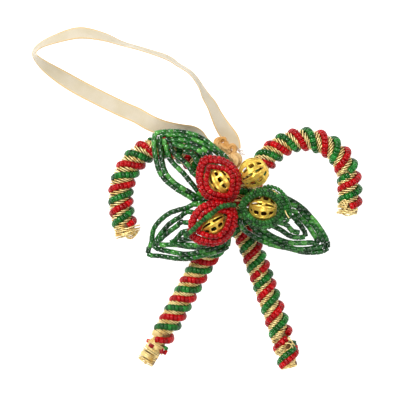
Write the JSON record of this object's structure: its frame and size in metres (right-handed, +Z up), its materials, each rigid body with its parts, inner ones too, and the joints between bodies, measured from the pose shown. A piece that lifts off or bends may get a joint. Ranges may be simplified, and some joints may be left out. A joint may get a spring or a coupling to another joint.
{
  "type": "beaded candy cane ornament",
  "caption": "Hanging ornament of crossed candy canes wound with glass beads on gold wire, with beaded leaves, buds round openwork balls and a ribbon loop.",
  "frame": {"origin": "on the surface it lies on, under the middle of the ornament's box without the ribbon", "axes": "+Z up out of the surface, +Y towards the hooks, +X towards the right cane's hook"},
  "size_m": [0.1487, 0.1543, 0.0374],
  "materials": {
    "gold_wire": "fine bright wire, wound close",
    "gold_filigree": "bright gold plate, openwork",
    "red_glass": "clear cranberry red glass, polished",
    "green_glass": "clear green glass, polished",
    "leaf_glass": "clear green glass tubes on wire",
    "organza": "sheer cream ribbon with denser edges"
  },
  "bodies": {
    "root": {"left_cane_core": "gold_wire", "left_cane_red_beads": "red_glass", "left_cane_green_beads": "green_glass", "right_cane_core": "gold_wire", "right_cane_red_beads": "red_glass", "right_cane_green_beads": "green_glass", "upper_bud_ball": "gold_filigree", "lower_bud_ball": "gold_filigree", "green_bud_ball": "gold_filigree", "bare_ball": "gold_filigree", "upper_bud_beads": "red_glass", "lower_bud_beads": "red_glass", "green_bud_beads": "green_glass", "lower_bud_green_strand": "green_glass", "upper_left_leaf": "leaf_glass", "lower_left_leaf": "leaf_glass", "right_leaf": "leaf_glass", "hanging_ribbon": "organza", "ribbon_knot": "organza", "binding_wire": "gold_wire"}
  },
  "joints": []
}
